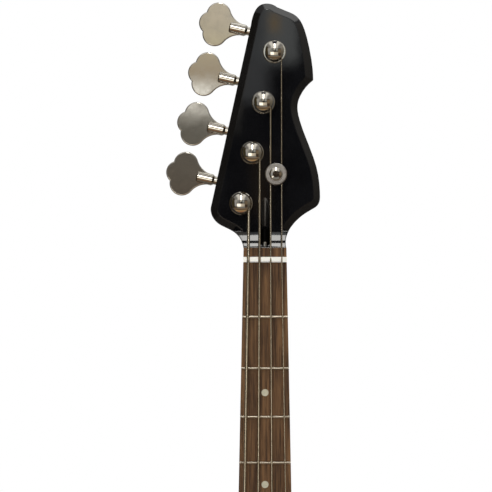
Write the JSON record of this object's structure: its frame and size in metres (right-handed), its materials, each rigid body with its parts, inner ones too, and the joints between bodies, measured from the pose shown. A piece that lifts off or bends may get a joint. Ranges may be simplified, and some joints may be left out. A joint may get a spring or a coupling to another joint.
{
  "type": "electric bass guitar",
  "caption": "Solid-body electric bass guitar with a bolt-on neck, geared tuners in line along the headstock, a dotted rosewood fingerboard and adjustable bridge saddles.",
  "frame": {"origin": "middle of the end strap button's head", "axes": "+Z along the neck towards the headstock, -Y out of the front, +X towards the thinnest string"},
  "size_m": [0.324, 0.0628, 1.19],
  "materials": {
    "black_lacquer": "gloss lacquer",
    "rosewood": "open-pored, oiled",
    "bone": "polished",
    "fret_metal": "polished nickel silver",
    "pearl": "pearl",
    "steel": "plain steel",
    "black_steel": "blackened steel",
    "nickel": "polished nickel plate",
    "satin_nickel": "satin nickel plate",
    "string_metal": "wound nickel steel",
    "brass": "plain brass",
    "copper": "enamelled copper wire",
    "white_plastic": "polished",
    "black_plastic": "satin",
    "capacitor_film": "dipped film",
    "wire_cover": "cloth-like insulation"
  },
  "bodies": {
    "bass": {"body": "black_lacquer", "pickguard": "white_plastic", "small_screws": "nickel", "neck": "black_lacquer", "fingerboard": "rosewood", "nut": "bone", "frets": "fret_metal", "position_dots": "pearl", "truss_rod": "steel", "neck_plate": "nickel", "neck_screws": "nickel", "bridge_plate": "nickel", "bridge_screws": "nickel", "intonation_screws": "steel", "intonation_springs": "steel", "pickup_covers": "black_plastic", "pickup_poles": "steel", "pickup_coils": "copper", "pots": "steel", "tone_capacitor": "capacitor_film", "hookup_wires": "wire_cover", "output_jack": "nickel", "output_jack_nut": "nickel", "control_cover": "black_plastic", "strap_buttons": "nickel", "strap_button_screws": "nickel", "tuner_plates": "nickel", "tuner_bushings": "nickel", "tuner_screws": "nickel", "string_tree": "satin_nickel", "string_tree_screw": "nickel", "string_e": "string_metal", "string_a": "string_metal", "string_d": "string_metal", "string_g": "string_metal"},
    "key_e": {"tuner_key_e": "nickel", "tuner_worm_e": "steel"},
    "post_e": {"tuner_post_e": "nickel", "tuner_gear_e": "brass"},
    "saddle_e": {"saddle_e": "nickel"},
    "key_a": {"tuner_key_a": "nickel", "tuner_worm_a": "steel"},
    "post_a": {"tuner_post_a": "nickel", "tuner_gear_a": "brass"},
    "saddle_a": {"saddle_a": "nickel"},
    "key_d": {"tuner_key_d": "nickel", "tuner_worm_d": "steel"},
    "post_d": {"tuner_post_d": "nickel", "tuner_gear_d": "brass"},
    "saddle_d": {"saddle_d": "nickel"},
    "key_g": {"tuner_key_g": "nickel", "tuner_worm_g": "steel"},
    "post_g": {"tuner_post_g": "nickel", "tuner_gear_g": "brass"},
    "saddle_g": {"saddle_g": "nickel"},
    "neck_volume_knob": {"neck_volume_knob": "black_plastic"},
    "bridge_volume_knob": {"bridge_volume_knob": "black_plastic"},
    "tone_knob": {"tone_knob": "black_plastic"},
    "truss_rod_nut": {"truss_rod_nut": "black_steel"}
  },
  "joints": [
    {"name": "key_e_turn", "type": "hinge", "parent": "bass", "child": "key_e", "pos_m": [-0.01794, 0.0051, 1.02073], "axis": [-0.9767, 0, 0.2147], "continuous": true},
    {"name": "post_e_turn", "type": "hinge", "parent": "bass", "child": "post_e", "pos_m": [-0.02135, -0.01, 1.0052], "axis": [0, 1, 0], "continuous": true},
    {"name": "saddle_e_slide", "type": "slide", "parent": "bass", "child": "saddle_e", "axis": [0, 0, 1], "range_m": [-0.006, 0.004], "deforming": ["intonation_springs"]},
    {"name": "key_a_turn", "type": "hinge", "parent": "bass", "child": "key_a", "pos_m": [-0.00797, 0.0051, 1.06605], "axis": [-0.9767, 0, 0.2147], "continuous": true},
    {"name": "post_a_turn", "type": "hinge", "parent": "bass", "child": "post_a", "pos_m": [-0.01139, -0.01, 1.05052], "axis": [0, 1, 0], "continuous": true},
    {"name": "saddle_a_slide", "type": "slide", "parent": "bass", "child": "saddle_a", "axis": [0, 0, 1], "range_m": [-0.006, 0.004], "deforming": ["intonation_springs"]},
    {"name": "key_d_turn", "type": "hinge", "parent": "bass", "child": "key_d", "pos_m": [0.00199, 0.0051, 1.11136], "axis": [-0.9767, 0, 0.2147], "continuous": true},
    {"name": "post_d_turn", "type": "hinge", "parent": "bass", "child": "post_d", "pos_m": [-0.00142, -0.01, 1.09583], "axis": [0, 1, 0], "continuous": true},
    {"name": "saddle_d_slide", "type": "slide", "parent": "bass", "child": "saddle_d", "axis": [0, 0, 1], "range_m": [-0.006, 0.004], "deforming": ["intonation_springs"]},
    {"name": "key_g_turn", "type": "hinge", "parent": "bass", "child": "key_g", "pos_m": [0.01196, 0.0051, 1.15668], "axis": [-0.9767, 0, 0.2147], "continuous": true},
    {"name": "post_g_turn", "type": "hinge", "parent": "bass", "child": "post_g", "pos_m": [0.00854, -0.01, 1.14115], "axis": [0, 1, 0], "continuous": true},
    {"name": "saddle_g_slide", "type": "slide", "parent": "bass", "child": "saddle_g", "axis": [0, 0, 1], "range_m": [-0.006, 0.004], "deforming": ["intonation_springs"]},
    {"name": "neck_volume_knob_turn", "type": "hinge", "parent": "bass", "child": "neck_volume_knob", "pos_m": [0.092, -0.025, 0.201], "axis": [0, 1, 0], "range_deg": [-150, 150]},
    {"name": "bridge_volume_knob_turn", "type": "hinge", "parent": "bass", "child": "bridge_volume_knob", "pos_m": [0.115, -0.025, 0.161], "axis": [0, 1, 0], "range_deg": [-150, 150]},
    {"name": "tone_knob_turn", "type": "hinge", "parent": "bass", "child": "tone_knob", "pos_m": [0.126, -0.025, 0.117], "axis": [0, 1, 0], "range_deg": [-150, 150]},
    {"name": "truss_rod_nut_turn", "type": "hinge", "parent": "bass", "child": "truss_rod_nut", "pos_m": [0, -0.0167, 0.9768], "axis": [0, 0, 1], "range_deg": [-180, 180]}
  ],
  "couplings": [
    {"joint": "post_e_turn", "follows": "key_e_turn", "ratio": 0.05},
    {"joint": "post_a_turn", "follows": "key_a_turn", "ratio": 0.05},
    {"joint": "post_d_turn", "follows": "key_d_turn", "ratio": 0.05},
    {"joint": "post_g_turn", "follows": "key_g_turn", "ratio": 0.05}
  ]
}
